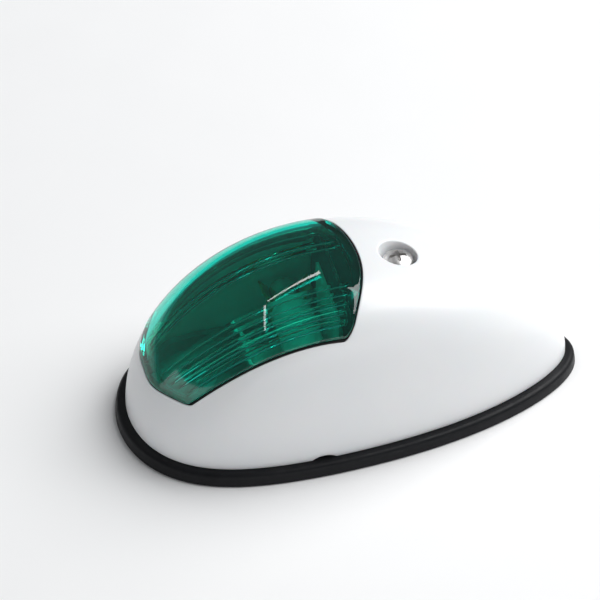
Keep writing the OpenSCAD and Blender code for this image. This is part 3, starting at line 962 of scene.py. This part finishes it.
def make_oring():
    low, high = box_mm("screw_oring")
    r = (high[2] - low[2]) / 2 - 0.005
    centre = (high[0] - low[0]) / 2 - (high[2] - low[2]) / 2
    profile = arc((centre, (low[2] + high[2]) / 2), r, 0, 360, 20)
    shape = Shape()
    shape.rings(moved_rings(turned(profile, 72), SCREW_X))
    piece_from(shape.mesh("sealing_ring"), "sealing_ring", ["screw_oring"],
               MATERIALS["gasket_rubber"])


# ---------------------------------------------------------------------------------------
# Bulb, with its axis along y

GLASS_LOW, GLASS_HIGH = box_mm("bulb_glass")
BULB_X = (GLASS_LOW[0] + GLASS_HIGH[0]) / 2
BULB_Z = (GLASS_LOW[2] + GLASS_HIGH[2]) / 2
GLASS_HALF = GLASS_HIGH[1]
GLASS_R = (GLASS_HIGH[0] - GLASS_LOW[0]) / 2


def along_bulb(profile, count):
    """Rings of a turned shape on the bulb's axis, from its [radius, y] profile."""
    rings = []
    for r, y in profile:
        ring = circle(r, count)
        rings.append(np.column_stack([BULB_X + ring[:, 0], np.full(count, y),
                                      BULB_Z + ring[:, 1]]))
    return rings


def make_glass():
    r = GLASS_R - 0.01
    neck = 3.4
    t = 0.6
    shoulder = arc((r - 2.2, GLASS_HALF - 3.1), 2.2, 0, 62, 8)
    end = [(neck, GLASS_HALF), (neck + 0.25, GLASS_HALF - 0.7)] + shoulder[::-1]
    half = end + [(r, y) for y in np.linspace(GLASS_HALF - 3.3, 0.5, 8)]
    outer = half + [(a, -b) for a, b in half[::-1]]
    inner = [(max(a - t, neck - t), np.clip(b, t - GLASS_HALF, GLASS_HALF - t))
             for a, b in outer]
    shape = Shape()
    shape.rings(along_bulb([(0.01, GLASS_HALF)] + outer + [(0.01, -GLASS_HALF)], 72), True, True)
    shape.rings(along_bulb([(0.01, GLASS_HALF - t)] + inner + [(0.01, t - GLASS_HALF)], 72),
                True, True)
    mesh = shape.mesh("bulb_envelope")
    piece_from(mesh, "bulb_envelope", ["bulb_glass"],
               MATERIALS["frosted_glass"])


def swept(path, r, count=8):
    """Rings of a tube of radius r along a path."""
    path = np.array(path)
    ahead = np.gradient(path, axis=0)
    ahead /= np.linalg.norm(ahead, axis=1, keepdims=True)
    side = np.cross(ahead, [0.05, 0.1, 1.0])
    side /= np.linalg.norm(side, axis=1, keepdims=True)
    lift = np.cross(side, ahead)
    turn = np.arange(count) * 2 * math.pi / count
    return [p + r * (np.outer(np.cos(turn), a) + np.outer(np.sin(turn), b))
            for p, a, b in zip(path, side, lift)]


def make_filament():
    coil_half = 7.0
    coil_r = 0.42
    wire_r = 0.1
    turns = 22
    reach = GLASS_HALF - 0.6
    angle = np.linspace(0, 2 * math.pi * turns, turns * 14)
    coil = [(BULB_X + coil_r * math.cos(a), -coil_half + 2 * coil_half * k / (len(angle) - 1),
             BULB_Z + coil_r * math.sin(a)) for k, a in enumerate(angle)]
    shape = Shape()
    shape.rings(swept(coil, wire_r), True, True)
    for side in (-1, 1):
        lead = [(BULB_X + coil_r * (1 - t), side * (coil_half + (reach - coil_half) * t), BULB_Z)
                for t in np.linspace(0, 1, 8)]
        shape.rings(swept(lead, 0.22, 12), True, True)
        bead = [(0.3, side * (reach - 2.2)), (0.62, side * (reach - 1.9)),
                (0.7, side * (reach - 1.2)), (0.62, side * (reach - 0.5)), (0.3, side * reach)]
        shape.rings(along_bulb(bead, 20), True, True)
    piece_from(shape.mesh("filament_wire"), "filament_wire", ["bulb_filament"],
               MATERIALS["tungsten"])


def make_caps():
    for node, side in (("bulb_cap_upper", -1), ("bulb_cap_lower", 1)):
        low, high = box_mm(node)
        r = (high[0] - low[0]) / 2 - 0.01
        end = max(abs(low[1]), abs(high[1]))
        start = GLASS_HALF
        rim = [(0.2, start), (r - 0.12, start), (r, start + 0.12), (r, start + 0.7),
               (r - 0.18, start + 0.95), (r - 0.18, start + 1.15), (r, start + 1.4)]
        barrel = [(r, start + 4.8)] + arc((r - 0.5, start + 4.9), 0.5, 10, 80, 6)
        cone = [(1.75, end - 0.55), (1.55, end - 0.45)] + arc((0.55, end - 0.65), 0.65, 20, 90, 6)
        profile = [(a, side * b) for a, b in rim + barrel + cone + [(0.05, end)]]
        shape = Shape()
        shape.rings(along_bulb(profile, 64), True, True)
        name = node.replace("bulb_cap", "bulb_end")
        piece_from(shape.mesh(name), name, [node], MATERIALS["nickel_plate"])


# ---------------------------------------------------------------------------------------
# Fittings whose CAD shape is kept, with rounded edges

FITTINGS = [
    ("base_plate", "base_moulding", "base_plastic", 0.2),
    ("threaded_insert", "insert_brass", "brass", 0.12),
    ("cable_grommet", "grommet_moulding", "grommet_rubber", 0.25),
    ("reflector", "reflector_moulding", "reflector_white", 0.2),
    ("light_baffle", "baffle_moulding", "baffle_plastic", 0.2),
    ("contact_clip_upper", "contact_spring_upper", "spring_brass", 0.12),
    ("contact_clip_lower", "contact_spring_lower", "spring_brass", 0.12),
    ("contact_rivets", "rivets_brass", "brass", 0.12),
    ("terminal_clamps", "clamp_plates", "nickel_plate", 0.12),
    ("terminal_screws", "clamp_screws", "brass", 0.12),
]


def make_fittings():
    for node, name, slot, width in FITTINGS:
        bevelled(node, name, MATERIALS[slot], width)


add_stage()
make_cover()
make_lens()
make_lens_seal_and_shade_lip()
make_gasket()
make_screw()
make_washer()
make_oring()
make_glass()
make_filament()
make_caps()
make_fittings()
bpy.context.scene.view_settings.view_transform = "Standard"
